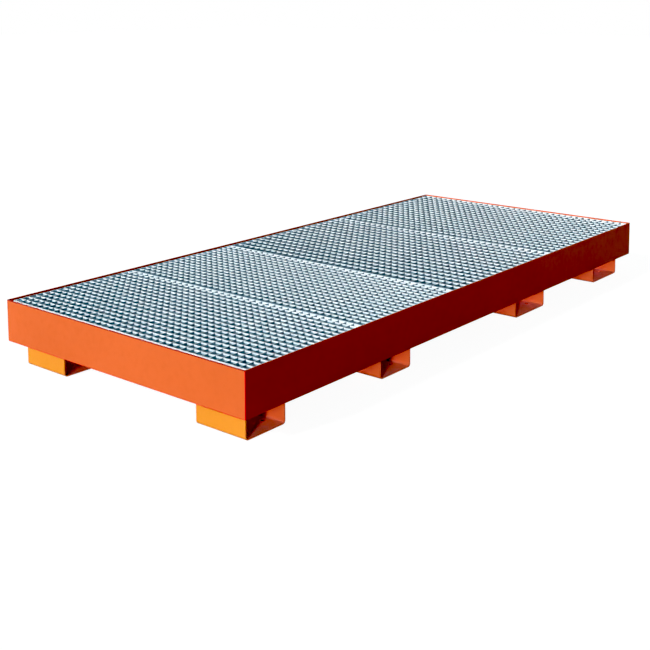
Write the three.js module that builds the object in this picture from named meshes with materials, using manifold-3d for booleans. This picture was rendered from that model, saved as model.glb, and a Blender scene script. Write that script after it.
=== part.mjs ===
// Steel spill containment pallet: a shallow welded sump on eight folded feet, with four
// galvanised walking gratings that drop in side by side and lift out by hand.
// Millimetres. +Z is up, +X runs along the length, +Y across the width.
// The origin is on the floor, under the middle of the pallet.

import * as THREE from "three";
import { mergeVertices } from "three/addons/utils/BufferGeometryUtils.js";
import Module from "manifold-3d";

const wasm = await Module();
wasm.setup();

// ---------- driving dimensions ----------

const LENGTH = 2750;
const WIDTH = 1250;
const FOOT_HEIGHT = 95;
const WALL_HEIGHT = 160;

// sump: one folded sheet for the floor and long sides, closed by a plate at each end
const SHEET = 3;
const SHEET_BEND = 5; // outer radius of the folds
const FLOOR_TOP = FOOT_HEIGHT + SHEET;
const RIM = FOOT_HEIGHT + WALL_HEIGHT;

// gratings: 30 x 3 bearing bars at 34; two short close-meshed gratings, then two long open ones,
// each cut from a longer mat, so its last cell is short
const GRATING_RECESS = 5;
const GRATING_GAP = 5;
const END_CLEARANCE = { front: 18.5, rear: 6.5 }; // the loose row lies pushed to the rear
const BAR_DEPTH = 30;
const BAR = 3;
const BEARING_BAR_PITCH = 34;
const BEARING_BAR_COUNT = 37;
const CROSS_BAR_DEPTH = 8;
const CROSS_BAR_DROP = 0.5; // pressed in just below the walking surface
const MODELLED_CROSS_BARS = [3, 14]; // of the 16 or 17 in a grating, counted from the front
const GRATING_WIDTH = (BEARING_BAR_COUNT - 1) * BEARING_BAR_PITCH + BAR;
const ROW_LENGTH = LENGTH - 2 * SHEET - END_CLEARANCE.front - END_CLEARANCE.rear;
const SHORT_GRATING = { length: 570, crossBarPitch: 32 };
const LONG_GRATING = {
  length: (ROW_LENGTH - 3 * GRATING_GAP) / 2 - SHORT_GRATING.length,
  crossBarPitch: 46,
};
const GRATINGS = [SHORT_GRATING, SHORT_GRATING, LONG_GRATING, LONG_GRATING];
const GRATING_TOP = RIM - GRATING_RECESS;
const GRATING_SEAT = GRATING_TOP - BAR_DEPTH;

// support ledges: 40 x 40 x 4 angle, welded round the inside of the walls
const ANGLE = 40;
const ANGLE_THICKNESS = 4;

// cross bearers: folded channels that stand on the floor under the joints between gratings
const BEARER_WIDTH = 60;
const BEARER_END_CLEARANCE = 1;
const DRAIN_NOTCH = { width: 80, height: 20, at: [-400, 0, 400] };

// feet: folded channels, open towards the long sides; short ones carry the short gratings
const FOOT = { width: 225, sheet: 4, bend: 12 };
const FOOT_SIDE_INSET = 50;
const FOOT_ROWS = [
  { front: -1325, length: 185 },
  { front: -627, length: 185 },
  { front: 337, length: 250 },
  { front: 1075, length: 250 },
];
const ANCHOR_HOLE = { radius: 8, fromRear: 34, fromOuterEnd: 70, sides: 24 };

// ---------- materials ----------

const tankPaint = new THREE.MeshStandardMaterial({
  color: 0xd95a2c,
  roughness: 0.42,
  metalness: 0,
});
const footPaint = new THREE.MeshStandardMaterial({
  color: 0xf0901c,
  roughness: 0.42,
  metalness: 0,
});
const galvanised = new THREE.MeshStandardMaterial({
  color: 0xa9bac2,
  roughness: 0.38,
  metalness: 0.9,
});

// ---------- shape helpers ----------

const X = new THREE.Vector3(1, 0, 0);
const Y = new THREE.Vector3(0, 1, 0);
const Z = new THREE.Vector3(0, 0, 1);
const DRAWN_IN_YZ = new THREE.Matrix4().makeBasis(Y, Z, X);
const DRAWN_IN_XZ = new THREE.Matrix4().makeBasis(X, Z, Y.clone().negate());

// A flat outline given thickness, centred on the plane it is drawn in.
function extrude(outline, thickness, plane) {
  const geometry = new THREE.ExtrudeGeometry(outline, {
    depth: thickness,
    bevelEnabled: false,
    curveSegments: 5,
  });
  geometry.translate(0, 0, -thickness / 2);
  return plane ? geometry.applyMatrix4(plane) : geometry;
}

// Channel section with its web at the bottom and two folds; u is centred, v starts at the web.
function channelOutline(width, height, sheet, bend) {
  const side = width / 2;
  const inner = bend - sheet;
  const outline = new THREE.Shape();
  outline.moveTo(-side, height);
  outline.lineTo(-side, bend);
  outline.absarc(-side + bend, bend, bend, Math.PI, 1.5 * Math.PI);
  outline.lineTo(side - bend, 0);
  outline.absarc(side - bend, bend, bend, 1.5 * Math.PI, 2 * Math.PI);
  outline.lineTo(side, height);
  outline.lineTo(side - sheet, height);
  outline.lineTo(side - sheet, bend);
  outline.absarc(side - bend, bend, inner, 0, -0.5 * Math.PI, true);
  outline.lineTo(-side + bend, sheet);
  outline.absarc(-side + bend, bend, inner, -0.5 * Math.PI, -Math.PI, true);
  outline.lineTo(-side + sheet, height);
  outline.closePath();
  return outline;
}

// Angle section with its corner at the origin: one leg along +u under v = 0, one down -v.
function angleOutline(leg, thickness) {
  const outline = new THREE.Shape();
  outline.moveTo(0, 0);
  outline.lineTo(0, -leg);
  outline.lineTo(thickness, -leg);
  outline.lineTo(thickness, -thickness);
  outline.lineTo(leg, -thickness);
  outline.lineTo(leg, 0);
  outline.closePath();
  return outline;
}

function box(sizeX, sizeY, sizeZ, x = 0, y = 0, z = 0) {
  return new THREE.BoxGeometry(sizeX, sizeY, sizeZ).translate(x, y, z);
}

function toSolid(geometry) {
  const bare = geometry.clone();
  bare.deleteAttribute("normal");
  bare.deleteAttribute("uv");
  const merged = mergeVertices(bare, 1e-4);
  return new wasm.Manifold(
    new wasm.Mesh({
      numProp: 3,
      vertProperties: new Float32Array(merged.attributes.position.array),
      triVerts: new Uint32Array(merged.index.array),
    }),
  );
}

function toGeometry(solid) {
  const mesh = solid.getMesh();
  const geometry = new THREE.BufferGeometry();
  geometry.setAttribute(
    "position",
    new THREE.BufferAttribute(mesh.vertProperties, 3),
  );
  geometry.setIndex(new THREE.BufferAttribute(mesh.triVerts, 1));
  geometry.computeVertexNormals();
  return geometry;
}

function cut(geometry, ...tools) {
  return toGeometry(
    tools.reduce((solid, tool) => solid.subtract(toSolid(tool)), toSolid(geometry)),
  );
}

function join(...geometries) {
  return toGeometry(
    geometries.map(toSolid).reduce((sum, solid) => sum.add(solid)),
  );
}

function piece(name, geometry, material, x = 0, y = 0, z = 0) {
  const mesh = new THREE.Mesh(geometry, material);
  mesh.name = name;
  mesh.position.set(x, y, z);
  return mesh;
}

// ---------- sump ----------

// The floor and both long sides are one sheet, folded up along its two long edges.
function panSheet() {
  const section = channelOutline(WIDTH, WALL_HEIGHT, SHEET, SHEET_BEND);
  const geometry = extrude(section, LENGTH - 2 * SHEET, DRAWN_IN_YZ);
  return piece("pan_sheet", geometry, tankPaint, 0, 0, FOOT_HEIGHT);
}

// An end plate covers the whole section of the folded sheet, so its lower corners are rounded.
function endPlate(name, end) {
  const side = WIDTH / 2;
  const outline = new THREE.Shape();
  outline.moveTo(-side, WALL_HEIGHT);
  outline.lineTo(-side, SHEET_BEND);
  outline.absarc(-side + SHEET_BEND, SHEET_BEND, SHEET_BEND, Math.PI, 1.5 * Math.PI);
  outline.lineTo(side - SHEET_BEND, 0);
  outline.absarc(side - SHEET_BEND, SHEET_BEND, SHEET_BEND, 1.5 * Math.PI, 2 * Math.PI);
  outline.lineTo(side, WALL_HEIGHT);
  outline.closePath();
  const geometry = extrude(outline, SHEET, DRAWN_IN_YZ);
  return piece(name, geometry, tankPaint, end * (LENGTH - SHEET) / 2, 0, FOOT_HEIGHT);
}

function sideLedge(name, side) {
  const geometry = extrude(angleOutline(ANGLE, ANGLE_THICKNESS), LENGTH - 2 * SHEET, DRAWN_IN_YZ);
  const ledge = piece(name, geometry, tankPaint, 0, side * (WIDTH / 2 - SHEET), GRATING_SEAT);
  ledge.rotation.z = side > 0 ? Math.PI : 0;
  return ledge;
}

// The end ledges fit between the side ledges.
function endLedge(name, end) {
  const span = WIDTH - 2 * SHEET - 2 * ANGLE;
  const geometry = extrude(angleOutline(ANGLE, ANGLE_THICKNESS), span, DRAWN_IN_XZ);
  const ledge = piece(name, geometry, tankPaint, end * (LENGTH / 2 - SHEET), 0, GRATING_SEAT);
  ledge.rotation.z = end > 0 ? Math.PI : 0;
  return ledge;
}

// A channel with its web on top, notched at the bottom so that liquid can pass under it.
function crossBearer(name, x) {
  const height = GRATING_SEAT - FLOOR_TOP;
  const span = WIDTH - 2 * (SHEET + ANGLE + BEARER_END_CLEARANCE);
  const channel = extrude(
    channelOutline(BEARER_WIDTH, height, SHEET, SHEET_BEND),
    span,
    DRAWN_IN_XZ,
  ).rotateX(Math.PI);
  const notches = DRAIN_NOTCH.at.map((y) =>
    box(2 * BEARER_WIDTH, DRAIN_NOTCH.width, 2 * DRAIN_NOTCH.height, 0, y, -height),
  );
  return piece(name, cut(channel, ...notches), tankPaint, x, 0, GRATING_SEAT);
}

// ---------- feet ----------

function foot(name, front, length, side) {
  const channel = extrude(
    channelOutline(length, FOOT_HEIGHT, FOOT.sheet, FOOT.bend),
    FOOT.width,
    DRAWN_IN_XZ,
  );
  const drill = new THREE.CylinderGeometry(
    ANCHOR_HOLE.radius,
    ANCHOR_HOLE.radius,
    4 * FOOT.sheet,
    ANCHOR_HOLE.sides,
  );
  drill.rotateX(Math.PI / 2);
  drill.translate(
    length / 2 - ANCHOR_HOLE.fromRear,
    side * (FOOT.width / 2 - ANCHOR_HOLE.fromOuterEnd),
    0,
  );
  const y = side * (WIDTH / 2 - FOOT_SIDE_INSET - FOOT.width / 2);
  return piece(name, cut(channel, drill), footPaint, front + length / 2, y, 0);
}

// ---------- gratings ----------

// Every bearing bar is here; the cross bars that tie them together are thinned out.
function gratingBars(name, { length, crossBarPitch }) {
  const span = length - 2 * BAR;
  const bars = Array.from({ length: BEARING_BAR_COUNT }, (_, i) =>
    box(span, BAR, BAR_DEPTH, 0, (i - (BEARING_BAR_COUNT - 1) / 2) * BEARING_BAR_PITCH, 0),
  );
  const frontBand = (BAR - length) / 2;
  const crossBars = MODELLED_CROSS_BARS.map((i) =>
    box(
      BAR,
      GRATING_WIDTH - BAR,
      CROSS_BAR_DEPTH,
      frontBand + i * crossBarPitch,
      0,
      (BAR_DEPTH - CROSS_BAR_DEPTH) / 2 - CROSS_BAR_DROP,
    ),
  );
  return piece(name, join(...crossBars, ...bars), galvanised);
}

// A grating lies flat: bearing bars along the pallet, closed by a flat bar at each end.
function grating(number, front, kind) {
  const group = new THREE.Group();
  const bandX = (kind.length - BAR) / 2;
  const band = box(BAR, GRATING_WIDTH, BAR_DEPTH);
  group.add(
    gratingBars(`grating_${number}_bars`, kind),
    piece(`grating_${number}_front_band`, band, galvanised, -bandX),
    piece(`grating_${number}_rear_band`, band, galvanised, bandX),
  );
  group.position.set(front + kind.length / 2, 0, GRATING_TOP - BAR_DEPTH / 2);
  return group;
}

// ---------- assembly ----------

const pallet = new THREE.Group();

pallet.add(
  panSheet(),
  endPlate("end_plate_front", -1),
  endPlate("end_plate_rear", 1),
  sideLedge("ledge_right", -1),
  sideLedge("ledge_left", 1),
  endLedge("ledge_front", -1),
  endLedge("ledge_rear", 1),
);

FOOT_ROWS.forEach(({ front, length }, row) => {
  pallet.add(foot(`foot_${row + 1}_right`, front, length, -1));
  pallet.add(foot(`foot_${row + 1}_left`, front, length, 1));
});

// The gratings lie in a row, and a bearer stands under each joint between two of them.
let front = -LENGTH / 2 + SHEET + END_CLEARANCE.front;
GRATINGS.forEach((kind, i) => {
  pallet.add(grating(i + 1, front, kind));
  if (i > 0) {
    pallet.add(crossBearer(`cross_bearer_${i}`, front - GRATING_GAP / 2));
  }
  front += kind.length + GRATING_GAP;
});

export default pallet;
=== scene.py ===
import math
import random

import bpy
import numpy as np
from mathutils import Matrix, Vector

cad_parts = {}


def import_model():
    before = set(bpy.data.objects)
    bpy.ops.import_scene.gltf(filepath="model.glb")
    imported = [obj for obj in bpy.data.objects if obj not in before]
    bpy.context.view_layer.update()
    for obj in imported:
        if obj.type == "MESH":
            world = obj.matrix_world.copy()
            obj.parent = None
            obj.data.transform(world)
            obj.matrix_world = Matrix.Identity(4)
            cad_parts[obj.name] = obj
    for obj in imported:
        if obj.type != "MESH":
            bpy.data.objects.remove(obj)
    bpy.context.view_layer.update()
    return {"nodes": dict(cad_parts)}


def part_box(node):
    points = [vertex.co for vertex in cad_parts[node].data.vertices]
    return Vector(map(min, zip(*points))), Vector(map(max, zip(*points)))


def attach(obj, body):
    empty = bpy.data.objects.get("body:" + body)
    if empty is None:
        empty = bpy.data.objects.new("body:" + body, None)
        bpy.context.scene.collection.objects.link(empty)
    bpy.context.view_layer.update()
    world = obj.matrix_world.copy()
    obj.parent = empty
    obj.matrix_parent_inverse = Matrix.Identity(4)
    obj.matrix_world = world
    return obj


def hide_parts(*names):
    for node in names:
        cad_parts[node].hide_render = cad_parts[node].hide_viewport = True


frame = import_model()

MM = 0.001
SUMP = "sump"
GRATINGS = (1, 2, 3, 4)
BEARERS = (1, 2, 3)
ENDS = ("front", "rear")
SIDES = ("right", "left")
FOOT_ROWS = (1, 2, 3, 4)
FEET = [f"foot_{row}_{side}" for row in FOOT_ROWS for side in SIDES]


# ---------- node graphs ----------


class Graph:
    """A node tree wired by calls: an input takes a number, a colour or another node's socket."""

    def __init__(self, tree):
        self.tree = tree
        tree.nodes.clear()

    def add(self, kind, inputs=None, out=0, **settings):
        node = self.tree.nodes.new(kind)
        for key, value in settings.items():
            setattr(node, key, value)
        for key, value in (inputs or {}).items():
            self.plug(node.inputs[key], value)
        return node.outputs[out] if node.outputs else node

    def plug(self, socket, value):
        if isinstance(value, bpy.types.NodeSocket):
            self.tree.links.new(value, socket)
        else:
            socket.default_value = value

    def object_coords(self):
        return self.add("ShaderNodeTexCoord", out="Object")

    def stretched(self, coords, scale):
        return self.add("ShaderNodeMapping", {"Vector": coords, "Scale": scale})

    def noise(self, coords, scale, detail=3.0, roughness=0.5):
        return self.add(
            "ShaderNodeTexNoise",
            {"Vector": coords, "Scale": scale, "Detail": detail, "Roughness": roughness},
        )

    def between(self, value, low, high, from_low=0.0, from_high=1.0):
        return self.add(
            "ShaderNodeMapRange",
            {
                "Value": value,
                "From Min": from_low,
                "From Max": from_high,
                "To Min": low,
                "To Max": high,
            },
        )

    def maths(self, operation, a, b=0.0):
        return self.add("ShaderNodeMath", {0: a, 1: b}, operation=operation)

    def blend(self, factor, a, b):
        """One colour at factor zero, the other at one."""
        node = self.tree.nodes.new("ShaderNodeMix")
        node.data_type = "RGBA"
        for index, value in ((0, factor), (6, a), (7, b)):
            self.plug(node.inputs[index], value)
        return node.outputs[2]

    def bump(self, height, strength, distance, under=None):
        inputs = {"Height": height, "Strength": strength, "Distance": distance}
        if under is not None:
            inputs["Normal"] = under
        return self.add("ShaderNodeBump", inputs)

    def surface(self, **inputs):
        """A Principled surface: Base_Color stands for the input Base Color, and so on."""
        named = {key.replace("_", " "): value for key, value in inputs.items()}
        bsdf = self.add("ShaderNodeBsdfPrincipled", named)
        self.add("ShaderNodeOutputMaterial", {"Surface": bsdf})


def new_material(name):
    made = bpy.data.materials.new(name)
    made.use_nodes = True
    return made, Graph(made.node_tree)


def rgb(*parts):
    return (*parts, 1.0)


def shade(colour, factor):
    """A colour made lighter or darker, its alpha left alone."""
    return rgb(*(min(1.0, c * factor) for c in colour[:3]))


# ---------- materials ----------


DUST = rgb(0.42, 0.36, 0.30)
EDGE_WIDTH = 4 * MM
CORNER_MATCH = 0.88  # how far the rounded and the real normal agree on a sharp corner
FLAT_MATCH = 0.998
UPWARD_Z = 0.6  # dust lies where a normal points up more than this
PAINT_GLOSS = 0.13
SMOOTHEST_PAINT = 0.30
ROUGHEST_PAINT = 0.44


def edge_mask(g):
    """One along the corners of a sheet, zero on its flats."""
    rounded = g.add("ShaderNodeBevel", {"Radius": EDGE_WIDTH}, samples=4)
    flat = g.add("ShaderNodeNewGeometry", out="Normal")
    match = g.add("ShaderNodeVectorMath", {0: rounded, 1: flat}, out="Value", operation="DOT_PRODUCT")
    return g.between(match, 1, 0, CORNER_MATCH, FLAT_MATCH)


def looks_up(g):
    """One where a face looks straight up, zero on walls and undersides."""
    normal = g.add("ShaderNodeNewGeometry", out="Normal")
    facing = g.add("ShaderNodeSeparateXYZ", {0: normal}, out="Z")
    return g.between(facing, 0, 1, UPWARD_Z, 1.0)


def paint(name, colour, edge):
    """Sprayed enamel on sheet: drift of tone, orange peel, settled dust, and on corners a deeper tone
    that is partly thin paint and partly a painted edge line standing in for light on the corners.
    """
    made, g = new_material(name)
    coords = g.object_coords()
    drift = g.noise(coords, 2.2, 3)
    tone = g.blend(g.between(drift, 0, 1, 0.3, 0.7), shade(colour, 0.95), shade(colour, 1.04))
    mottle = g.noise(coords, 38, 4, 0.6)
    tone = g.blend(g.between(mottle, 0, 0.30, 0.45, 0.75), tone, shade(colour, 0.87))
    settled = g.between(g.noise(coords, 14, 5, 0.65), 0, 0.22, 0.35, 0.75)
    tone = g.blend(g.maths("MULTIPLY", looks_up(g), settled), tone, DUST)
    # Corner tone: partly thin paint, partly a painted edge line in place of the light on the corners.
    thin = g.between(g.noise(coords, 75, 5, 0.7), 0.65, 1.0, 0.35, 0.60)
    tone = g.blend(g.maths("MULTIPLY", edge_mask(g), thin), tone, edge)
    panel = g.bump(g.noise(coords, 2.5, 1), 0.20, 0.010)
    waves = g.bump(g.noise(coords, 60, 2), 0.05, 0.002, panel)
    skin = g.bump(g.noise(coords, 420, 2), 0.10, 0.0004, waves)
    g.surface(
        Base_Color=tone,
        Roughness=g.between(mottle, SMOOTHEST_PAINT, ROUGHEST_PAINT, 0.3, 0.7),
        Specular_IOR_Level=PAINT_GLOSS,
        Normal=skin,
    )
    return made


def zinc(name, dark, light, dull, deep=None, deep_below=0.0, clear_above=0.0):
    """Hot-dip galvanised steel: crystal spangle under a cloudy skin, and deep in the mesh another tone
    that is painted light and shade.
    """
    made, g = new_material(name)
    coords = g.object_coords()
    warp = g.noise(coords, 35, 2)
    bent = g.add(
        "ShaderNodeVectorMath",
        {0: coords, 1: g.stretched(warp, (0.02, 0.02, 0.02))},
        operation="ADD",
    )
    spangle = g.add("ShaderNodeTexVoronoi", {"Vector": bent, "Scale": 85.0}, out="Color")
    value = g.add("ShaderNodeSeparateColor", {"Color": spangle})
    cloud = g.noise(coords, 6, 4, 0.6)
    tone = g.blend(value, dark, light)
    tone = g.blend(g.between(cloud, 0, 0.5, 0.35, 0.7), tone, dull)
    # Painted light and shade by height: the deep colour takes over from clear_above down to deep_below.
    if deep is not None:
        height = g.add("ShaderNodeSeparateXYZ", {0: coords}, out="Z")
        tone = g.blend(g.between(height, 1, 0, deep_below, clear_above), tone, deep)
    grain = g.bump(g.noise(coords, 900, 2), 0.12, 0.0003)
    g.surface(
        Base_Color=tone,
        Metallic=0.15,
        Roughness=g.between(value, 0.34, 0.52),
        Normal=grain,
    )
    return made


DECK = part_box("grating_1_bars")[1].z
CROSS_DROP = 0.5 * MM
CROSS_DEPTH = 8 * MM

# Painted highlight: a bright red for the rounded outer edges of the end plates.
EDGE_HIGHLIGHT_PAINT = paint("tank_paint_painted_edge_highlight", rgb(0.82, 0.055, 0.050), rgb(0.74, 0.050, 0.045))
# Painted shade: a dark red for the top rim of the front end plate.
RIM_SHADE_PAINT = paint("tank_paint_rim_painted_shade", rgb(0.30, 0.045, 0.050), rgb(0.26, 0.040, 0.045))
TANK_PAINT = paint("tank_paint", rgb(0.63, 0.153, 0.066), rgb(0.53, 0.045, 0.035))
FOOT_PAINT = paint("foot_paint", rgb(0.67, 0.282, 0.054), rgb(0.48, 0.130, 0.040))
ZINC = zinc("galvanised", rgb(0.74, 0.85, 0.90), rgb(0.90, 0.96, 0.98), rgb(0.78, 0.87, 0.92))
# Painted shade: the long faces of the bearing bars, and the front bands of gratings 2 to 4, get a
# darker copy of the zinc. Lower in the mesh it turns lighter, which is painted light.
PAINTED_SHADE_TONE = {1: 1.14, 2: 1.0, 3: 0.95, 4: 0.84}  # the long faces of the bars darken towards the rear
PAINTED_SHADE_ZINC = {
    number: zinc(
        f"galvanised_painted_shade_{number}",
        shade(rgb(0.18, 0.29, 0.36), factor),
        shade(rgb(0.22, 0.33, 0.40), factor),
        shade(rgb(0.19, 0.30, 0.37), factor),
        deep=shade(rgb(0.42, 0.54, 0.62), factor),
        deep_below=DECK - 14 * MM,
        clear_above=DECK - 4 * MM,
    )
    for number, factor in PAINTED_SHADE_TONE.items()
}
# Painted light: the long faces of the outermost bearing bars get a lighter copy of the zinc.
LAST_BAR_PAINTED_LIGHT_ZINC = zinc(
    "galvanised_last_bar_painted_light", rgb(0.38, 0.58, 0.70), rgb(0.46, 0.66, 0.78), rgb(0.40, 0.60, 0.72)
)
# The faces of the cross bars that look to the front end get a slightly brighter copy of the zinc, which
# is painted light, with painted shade below the top few millimetres.
CROSS_ZINC = zinc(
    "galvanised_cross",
    rgb(0.74, 0.85, 0.90),
    rgb(0.92, 0.96, 0.98),
    rgb(0.80, 0.88, 0.92),
    deep=rgb(0.17, 0.36, 0.45),
    deep_below=DECK - 7.5 * MM,
    clear_above=DECK - 3.5 * MM,
)


# ---------- meshes ----------


def new_object(name, mesh, material, body):
    mesh.materials.append(material)
    made = bpy.data.objects.new(name, mesh)
    bpy.context.scene.collection.objects.link(made)
    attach(made, body)
    return made


def block_mesh(name, xs, ys, zs, filled):
    """The skin of the filled cells of an uneven block grid, as quads with shared corners."""
    nx, ny, nz = filled.shape
    solid = np.zeros((nx + 2, ny + 2, nz + 2), bool)
    solid[1:-1, 1:-1, 1:-1] = filled
    corner_ids = {}
    verts, faces = [], []

    def corner(i, j, k):
        key = (i, j, k)
        if key not in corner_ids:
            corner_ids[key] = len(verts)
            verts.append((xs[i], ys[j], zs[k]))
        return corner_ids[key]

    # The low face of a cell across each axis, anticlockwise seen from the axis's far end.
    face_corners = {
        0: ((0, 0, 0), (0, 1, 0), (0, 1, 1), (0, 0, 1)),
        1: ((0, 0, 0), (0, 0, 1), (1, 0, 1), (1, 0, 0)),
        2: ((0, 0, 0), (1, 0, 0), (1, 1, 0), (0, 1, 0)),
    }
    for axis in range(3):
        step = np.eye(3, dtype=int)[axis]
        for side in (-1, 1):
            beyond = np.roll(solid, -side, axis)
            bare = solid & ~beyond
            for i, j, k in np.argwhere(bare) - 1:
                base = np.array((i, j, k)) + (step if side > 0 else 0)
                loop = [corner(*(base + np.array(offset))) for offset in face_corners[axis]]
                faces.append(loop if side > 0 else loop[::-1])
    mesh = bpy.data.meshes.new(name)
    mesh.from_pydata(verts, [], faces)
    mesh.update()
    return mesh


def breaks(centres, width):
    """Both edges of every bar of one width, low to high."""
    return [edge for c in centres for edge in (c - width / 2, c + width / 2)]


# ---------- gratings ----------

BAR = 3 * MM
BEARING_PITCH = 34 * MM
BEARING_COUNT = 37
CROSS_PITCH = {1: 32 * MM, 2: 32 * MM, 3: 46 * MM, 4: 46 * MM}
BEARING_Y = [(i - (BEARING_COUNT - 1) / 2) * BEARING_PITCH for i in range(BEARING_COUNT)]


def grating_mat(number):
    """Every bearing bar and cross bar of one grating, without its two end bands."""
    low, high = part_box(f"grating_{number}_bars")
    band_x = low.x - BAR / 2
    pitch = CROSS_PITCH[number]
    count = int((high.x - band_x) / pitch)
    cross_x = [band_x + i * pitch for i in range(1, count + 1)]
    xs = [low.x, *breaks(cross_x, BAR), high.x]
    ys = breaks(BEARING_Y, BAR)
    top = high.z
    zs = [low.z, top - CROSS_DROP - CROSS_DEPTH, top - CROSS_DROP, top]
    filled = np.zeros((len(xs) - 1, len(ys) - 1, 3), bool)
    filled[:, 0::2, :] = True
    filled[1::2, :, 1] = True
    mesh = block_mesh(f"grating_{number}_mat", xs, ys, zs, filled)
    mat = new_object(f"grating_{number}_mat", mesh, ZINC, f"grating_{number}")
    for other in (PAINTED_SHADE_ZINC[number], CROSS_ZINC, LAST_BAR_PAINTED_LIGHT_ZINC):
        mesh.materials.append(other)
    long_face, cross_face, last_bar = 1, 2, 3
    # Faces that look sideways get the painted-shade zinc. Those of the outermost bars get a lighter
    # copy, which is painted light. Faces that look to the front end get the cross-face zinc, which
    # carries painted shade low down.
    for face in mesh.polygons:
        if abs(face.normal.y) > 0.5:
            outermost = abs(face.center.y) > BEARING_Y[-1] - BAR
            face.material_index = last_bar if outermost else long_face
        elif face.normal.x < -0.5:
            face.material_index = cross_face
    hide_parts(f"grating_{number}_bars")


for number in GRATINGS:
    grating_mat(number)


# ---------- end plates ----------

FOLD = 5 * MM  # outer radius of the long folds, which the end plates follow
PLATE_ROUND = 2.9 * MM
ROUND_STEPS = 6
FOLD_STEPS = 6


def plate_outline(low, high, inset):
    """The section of the folded sheet, drawn in by an inset, anticlockwise seen from +X."""
    left, right = low.y + inset, high.y - inset
    bottom, top = low.z + inset, high.z - inset
    radius = FOLD - inset
    outline = [(right, top), (left, top)]
    for centre_y, start in ((left + radius, 180), (right - radius, 270)):
        for step in range(FOLD_STEPS + 1):
            turn = math.radians(start + 90 * step / FOLD_STEPS)
            y = centre_y + radius * math.cos(turn)
            outline.append((y, bottom + radius * (1 + math.sin(turn))))
    return outline


def end_plate(end, outwards):
    """An end plate whose outer edges are ground round after welding. The rounded strips carry a painted
    highlight in bright red, and the top rim of the front plate carries painted shade.
    """
    low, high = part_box(f"end_plate_{end}")
    outer, inner = (high.x, low.x) if outwards > 0 else (low.x, high.x)
    rings = []
    for step in range(ROUND_STEPS + 1):
        turn = math.radians(90 * step / ROUND_STEPS)
        x = outer - outwards * PLATE_ROUND * (1 - math.cos(turn))
        rings.append((x, PLATE_ROUND * (1 - math.sin(turn))))
    rings.append((inner, 0.0))
    verts, faces = [], []
    for x, inset in rings:
        verts += [(x, y, z) for y, z in plate_outline(low, high, inset)]
    count = len(verts) // len(rings)
    for ring in range(len(rings) - 1):
        for k in range(count):
            a, b = ring * count + k, ring * count + (k + 1) % count
            faces.append((a, a + count, b + count, b))
    faces.append(tuple(range(count)))
    faces.append(tuple(range((len(rings) - 1) * count, len(rings) * count))[::-1])
    if outwards < 0:
        faces = [face[::-1] for face in faces]
    mesh = bpy.data.meshes.new(f"{end}_end_plate_ground")
    mesh.from_pydata(verts, [], faces)
    mesh.polygons.foreach_set("use_smooth", [True] * len(faces))
    plate = new_object(f"{end}_end_plate_ground", mesh, TANK_PAINT, SUMP)
    mesh.materials.append(EDGE_HIGHLIGHT_PAINT)
    mesh.materials.append(RIM_SHADE_PAINT)
    ground, rim = 1, 2
    # The rounded strips get the painted highlight, and the front plate's top rim gets the painted
    # shade.
    for face in mesh.polygons[: count * ROUND_STEPS]:
        front_rim = outwards < 0 and face.center.z > high.z - PLATE_ROUND
        face.material_index = rim if front_rim else ground
    mesh.set_sharp_from_angle(angle=math.radians(50))
    weighted = plate.modifiers.new("flat_faces", "WEIGHTED_NORMAL")
    weighted.keep_sharp = True
    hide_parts(f"end_plate_{end}")
    return plate


GROUND_PLATES = [end_plate("front", -1), end_plate("rear", 1)]


# ---------- weld beads ----------

BEAD_SIDES = 8
RIPPLE = 3.2 * MM

# Radii of the beads, and where they start and stop.
SEAM_BEAD = 2.6 * MM
CORNER_BEAD = 2.4 * MM
CORNER_BEAD_FOOT = 4 * MM
CORNER_BEAD_HEAD = 2 * MM
STITCH_BEAD = 2.4 * MM
STITCH_LENGTH = 45 * MM
SIDE_STITCHES = 9
END_STITCHES = 4
BEARER_STITCH_LENGTH = 40 * MM
BEARER_STITCH_Y = (0.13, 0.27, 0.53)  # either side of the drain notches
FOOT_BEAD = 3.0 * MM
FOOT_BEAD_INSET = 6 * MM
BAND_BEAD = 1.3 * MM
BAND_BEAD_BOTTOM = 16 * MM  # below the deck
BAND_BEAD_TOP = 3 * MM


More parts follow.
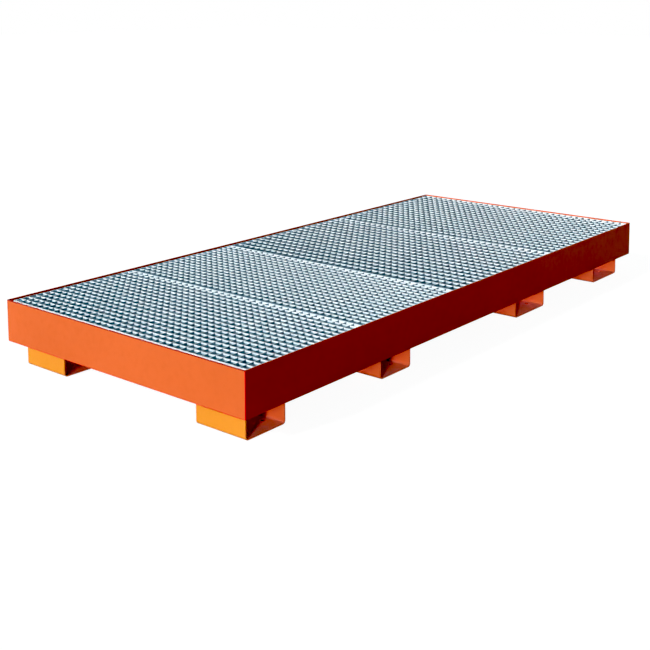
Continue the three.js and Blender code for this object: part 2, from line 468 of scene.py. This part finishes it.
class Beads:
    """Rippled weld beads, gathered into one mesh."""

    def __init__(self, seed):
        self.verts = []
        self.faces = []
        self.random = random.Random(seed)

    def run(self, start, end, radius):
        """One bead from start to end: a ring every ripple, narrow at both ends, its path unsteady."""
        start, end = Vector(start), Vector(end)
        along = (end - start).normalized()
        across = along.orthogonal().normalized()
        up = along.cross(across)
        count = max(4, 2 * round((end - start).length / RIPPLE))
        base = len(self.verts)
        for i in range(count + 1):
            t = i / count
            taper = min(1.0, 0.35 + 5 * min(t, 1 - t))
            swell = 1.0 if i % 2 else 0.84
            size = radius * taper * swell * self.random.uniform(0.94, 1.06)
            centre = start.lerp(end, t) + across * self.random.uniform(-0.05, 0.05) * radius
            for k in range(BEAD_SIDES):
                turn = 2 * math.pi * k / BEAD_SIDES
                self.verts.append(centre + size * (math.cos(turn) * across + math.sin(turn) * up))
        for i in range(count):
            for k in range(BEAD_SIDES):
                a = base + i * BEAD_SIDES + k
                b = base + i * BEAD_SIDES + (k + 1) % BEAD_SIDES
                self.faces.append((a, b, b + BEAD_SIDES, a + BEAD_SIDES))
        last = base + count * BEAD_SIDES
        self.faces.append(tuple(base + k for k in reversed(range(BEAD_SIDES))))
        self.faces.append(tuple(last + k for k in range(BEAD_SIDES)))

    def stitches(self, start, end, count):
        """Short beads spread evenly between two points."""
        start, end = Vector(start), Vector(end)
        reach = (end - start).normalized() * STITCH_LENGTH / 2
        for i in range(count):
            middle = start.lerp(end, (i + 0.5) / count)
            self.run(middle - reach, middle + reach, STITCH_BEAD)

    def finish(self, name, material, body):
        mesh = bpy.data.meshes.new(name)
        mesh.from_pydata(self.verts, [], self.faces)
        mesh.polygons.foreach_set("use_smooth", [True] * len(self.faces))
        new_object(name, mesh, material, body)


def tank_welds():
    """Inside corners of the sump: end plates to the folded sheet, all the way round."""
    beads = Beads(11)
    low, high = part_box("pan_sheet")
    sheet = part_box("end_plate_front")[1].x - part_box("end_plate_front")[0].x
    floor_z = low.z + sheet
    wall = high.y - sheet
    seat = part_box("ledge_right")[0].z
    for x in (low.x, high.x):
        beads.run((x, -wall, floor_z), (x, wall, floor_z), SEAM_BEAD)
        for y in (-wall, wall):
            beads.run((x, y, floor_z + CORNER_BEAD_FOOT), (x, y, seat - CORNER_BEAD_HEAD), CORNER_BEAD)
    beads.finish("sump_corner_welds", TANK_PAINT, SUMP)


def ledge_welds():
    """Stitches under the toes of the support ledges."""
    beads = Beads(12)
    for side in SIDES:
        low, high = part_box(f"ledge_{side}")
        y = low.y if side == "right" else high.y
        beads.stitches((low.x, y, low.z), (high.x, y, low.z), SIDE_STITCHES)
    for end in ENDS:
        low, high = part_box(f"ledge_{end}")
        x = low.x if end == "front" else high.x
        beads.stitches((x, low.y, low.z), (x, high.y, low.z), END_STITCHES)
    beads.finish("ledge_welds", TANK_PAINT, SUMP)


def bearer_welds():
    """Stitches at the feet of the cross bearers, clear of their drain notches."""
    beads = Beads(13)
    half = BEARER_STITCH_LENGTH / 2
    right_half = [-y for y in reversed(BEARER_STITCH_Y)]
    for index in BEARERS:
        low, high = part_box(f"cross_bearer_{index}")
        for x in (low.x, high.x):
            for y in (*right_half, *BEARER_STITCH_Y):
                beads.run((x, y - half, low.z), (x, y + half, low.z), STITCH_BEAD)
    beads.finish("bearer_welds", TANK_PAINT, SUMP)


def foot_welds():
    """A fillet along the top of both walls of every foot, outside, against the sump floor."""
    beads = Beads(14)
    for foot in FEET:
        low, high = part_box(foot)
        right, left = low.y + FOOT_BEAD_INSET, high.y - FOOT_BEAD_INSET
        for x in (low.x, high.x):
            beads.run((x, right, high.z), (x, left, high.z), FOOT_BEAD)
    beads.finish("foot_welds", FOOT_PAINT, SUMP)


def band_welds(number):
    """Small fillets that hold the end bands to the bearing bars, on every second bar."""
    beads = Beads(20 + number)
    low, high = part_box(f"grating_{number}_bars")
    bottom, top = high.z - BAND_BEAD_BOTTOM, high.z - BAND_BEAD_TOP
    for y in BEARING_Y[::2]:
        for x in (low.x, high.x):
            for side in (-1, 1):
                corner = y + side * BAR / 2
                beads.run((x, corner, bottom), (x, corner, top), BAND_BEAD)
    beads.finish(f"grating_{number}_band_welds", ZINC, f"grating_{number}")


tank_welds()
ledge_welds()
bearer_welds()
foot_welds()
for number in GRATINGS:
    band_welds(number)


# ---------- CAD nodes that stay ----------

SHEET_EDGE = 0.8 * MM
BAND_EDGE = 0.4 * MM


def dress(node, material, edge=SHEET_EDGE):
    """A CAD node keeps its mesh and gets eased edges and a material."""
    piece = frame["nodes"][node]
    piece.data.materials.clear()
    piece.data.materials.append(material)
    bevel = piece.modifiers.new("eased_edges", "BEVEL")
    bevel.width = edge
    bevel.segments = 2
    bevel.limit_method = "ANGLE"
    bevel.angle_limit = math.radians(40)
    bevel.harden_normals = True


dress("pan_sheet", TANK_PAINT)
for where in (*ENDS, *SIDES):
    dress(f"ledge_{where}", TANK_PAINT)
for index in BEARERS:
    dress(f"cross_bearer_{index}", TANK_PAINT)
for foot in FEET:
    dress(foot, FOOT_PAINT)
for number in GRATINGS:
    for end in ENDS:
        # The front bands of gratings 2 to 4 get painted shade.
        shaded = end == "front" and number > 1
        dress(f"grating_{number}_{end}_band", PAINTED_SHADE_ZINC[number] if shaded else ZINC, BAND_EDGE)


# ---------- floor, light and camera ----------

FLOOR_SIZE = 60.0
HOLE_RADIUS = 7.9 * MM  # a touch smaller than the anchor hole that it lies under
HOLE_SIDES = 24
HOLE_FROM_REAR = 34 * MM
HOLE_FROM_END = 70 * MM
HOLE_GROUND_Z = 0.3 * MM
# Painted shade for the ground under the anchor holes.
GROUND_SHADE, shade_graph = new_material("ground_in_shade")
shade_graph.surface(Base_Color=rgb(0.10, 0.05, 0.04), Roughness=0.9)


def stage_face(name, corners, material):
    """A flat face that is seen in the picture but isn't part of the object."""
    mesh = bpy.data.meshes.new(name)
    mesh.from_pydata(corners, [], [tuple(range(len(corners)))])
    mesh.materials.append(material)
    face = bpy.data.objects.new(name, mesh)
    bpy.context.scene.collection.objects.link(face)


def floor():
    """A floor that looks white to the camera, takes faint shadows and bounces little light."""
    made, g = new_material("floor")
    seen = g.add("ShaderNodeLightPath", out="Is Camera Ray")
    glow = g.add("ShaderNodeEmission", {"Color": rgb(1, 1, 1), "Strength": 0.96})
    lit = g.add("ShaderNodeBsdfDiffuse", {"Color": rgb(0.08, 0.08, 0.08)})
    near = g.add("ShaderNodeAddShader", {0: glow, 1: lit})
    far = g.add("ShaderNodeBsdfDiffuse", {"Color": rgb(0.42, 0.42, 0.42)})
    both = g.add("ShaderNodeMixShader", {0: seen, 1: far, 2: near})
    g.add("ShaderNodeOutputMaterial", {"Surface": both})
    half = FLOOR_SIZE / 2
    stage_face("floor", [(-half, -half, 0), (half, -half, 0), (half, half, 0), (-half, half, 0)], made)


def anchor_ground(node):
    """Painted shade: a dark disc on the floor, seen through the anchor hole of a foot."""
    low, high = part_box(node)
    outwards = math.copysign(1, low.y + high.y)
    x = high.x - HOLE_FROM_REAR
    y = (high.y if outwards > 0 else low.y) - outwards * HOLE_FROM_END
    turns = [math.tau * i / HOLE_SIDES for i in range(HOLE_SIDES)]
    rim = [(x + HOLE_RADIUS * math.cos(t), y + HOLE_RADIUS * math.sin(t), HOLE_GROUND_Z) for t in turns]
    stage_face(f"{node}_ground", rim, GROUND_SHADE)


def sun(name, heading, height, strength, softness, colour=(1.0, 1.0, 1.0)):
    """A distant lamp. Heading 0 shines from the front end, 90 from the right side."""
    data = bpy.data.lights.new(name, "SUN")
    data.energy = strength
    data.angle = math.radians(softness)
    data.color = colour
    lamp = bpy.data.objects.new(name, data)
    h, e = math.radians(heading), math.radians(height)
    towards = Vector((-math.cos(h) * math.cos(e), -math.sin(h) * math.cos(e), math.sin(e)))
    lamp.rotation_euler = towards.to_track_quat("Z", "Y").to_euler()
    bpy.context.scene.collection.objects.link(lamp)
    return lamp


def linked(label, pieces, state="INCLUDE"):
    """A collection of pieces that a lamp lights, leaves out, or is shaded by."""
    made = bpy.data.collections.new(label)
    for piece in pieces:
        made.objects.link(piece)
    for entry in made.collection_objects:
        entry.light_linking.link_state = state
    return made


def world():
    """White behind the object, and a dim cool light on it."""
    made = bpy.data.worlds.new("studio")
    made.use_nodes = True
    g = Graph(made.node_tree)
    seen = g.add("ShaderNodeLightPath", out="Is Camera Ray")
    white = g.add("ShaderNodeBackground", {"Color": rgb(1, 1, 1), "Strength": 1.0})
    dim = g.add("ShaderNodeBackground", {"Color": rgb(0.74, 0.95, 1.0), "Strength": 0.29})
    both = g.add("ShaderNodeMixShader", {0: seen, 1: dim, 2: white})
    g.add("ShaderNodeOutputWorld", {"Surface": both})
    bpy.context.scene.world = made


def lights():
    """Every lamp, and the pieces that some of them are kept to or kept from."""
    feet = [frame["nodes"][foot] for foot in FEET]
    front_feet, rear_feet = feet[:2], feet[-2:]

    key = sun("key", heading=-12, height=30, strength=3.8, softness=6)
    key.light_linking.receiver_collection = linked("not_under_the_key", front_feet, "EXCLUDE")
    near_feet = sun(
        "near_feet", heading=-12, height=30, strength=2.75, softness=6, colour=(0.54, 0.95, 0.0)
    )
    near_feet.light_linking.receiver_collection = linked("near_feet_only", front_feet)
    sun("low_key", heading=21.6, height=16, strength=0.40, softness=3)
    sun("back", heading=215, height=40, strength=0.33, softness=25)
    rear_fill = sun("rear_fill", heading=215, height=13, strength=1.4, softness=20)
    rear_fill.visible_glossy = False
    rear_fill.light_linking.receiver_collection = linked(
        "sump_and_rear_feet", [frame["nodes"]["pan_sheet"], *GROUND_PLATES, *rear_feet]
    )

    # These two pass through the sump, so that they reach the feet under it.
    under = sun("under", heading=25.3, height=18, strength=5.0, softness=3, colour=(0.50, 0.24, 1.0))
    under.light_linking.receiver_collection = linked("feet_only", feet)
    under.light_linking.blocker_collection = linked("shaded_by_feet_only", feet)
    web_fill = sun("web_fill", heading=90, height=50, strength=2.0, softness=3, colour=(0.0, 0.22, 1.0))
    web_fill.light_linking.receiver_collection = linked("webs_of_feet", feet)
    web_fill.light_linking.blocker_collection = linked("webs_shaded_by_feet", feet)

    # With the light tree on, runs differ in how often they sample the lamps that are linked to pieces.
    bpy.context.scene.cycles.use_light_tree = False


CAMERA_STAND = (-3.6544, -2.8857, 1.3955)
CAMERA_TURN = (83.528, 0.019, -51.612)
CAMERA_LENS = 59.853
CAMERA_SENSOR = 36
CAMERA_REACH = 100
LENS_SHIFT = {"shift_x": -0.05616, "shift_y": -0.31945}
AT_STAND = 12 * MM  # the lens is shifted while the camera's height is this close to its stand's
OFF_STAND = 24 * MM


def shift_lens(camera, channel, amount):
    """Shifts the lens while the camera is at its stand, and centres it once the camera is moved."""
    curve = camera.data.driver_add(channel)
    while curve.modifiers:
        curve.modifiers.remove(curve.modifiers[0])
    curve.driver.type = "AVERAGE"
    height = curve.driver.variables.new()
    height.type = "SINGLE_PROP"
    height.targets[0].id = camera
    height.targets[0].data_path = "location[2]"
    for offset, value in ((-OFF_STAND, 0), (-AT_STAND, amount), (AT_STAND, amount), (OFF_STAND, 0)):
        key_point = curve.keyframe_points.insert(CAMERA_STAND[2] + offset, value)
        key_point.interpolation = "LINEAR"
    curve.extrapolation = "CONSTANT"


def camera():
    """The camera stands off the front right corner and looks down along the pallet."""
    data = bpy.data.cameras.new("camera")
    data.lens = CAMERA_LENS
    data.sensor_width = CAMERA_SENSOR
    data.clip_end = CAMERA_REACH
    made = bpy.data.objects.new("camera", data)
    made.location = CAMERA_STAND
    made.rotation_euler = [math.radians(angle) for angle in CAMERA_TURN]
    bpy.context.scene.collection.objects.link(made)
    bpy.context.scene.camera = made
    for channel, amount in LENS_SHIFT.items():
        shift_lens(made, channel, amount)


BLACK_LEVEL = 0.07


def view():
    """The picture's contrast: everything darker than the black level turns black."""
    settings = bpy.context.scene.view_settings
    settings.view_transform = "Standard"
    settings.use_curve_mapping = True
    settings.curve_mapping.black_level = (BLACK_LEVEL,) * 3


floor()
for foot in FEET:
    anchor_ground(foot)
world()
lights()
camera()
view()
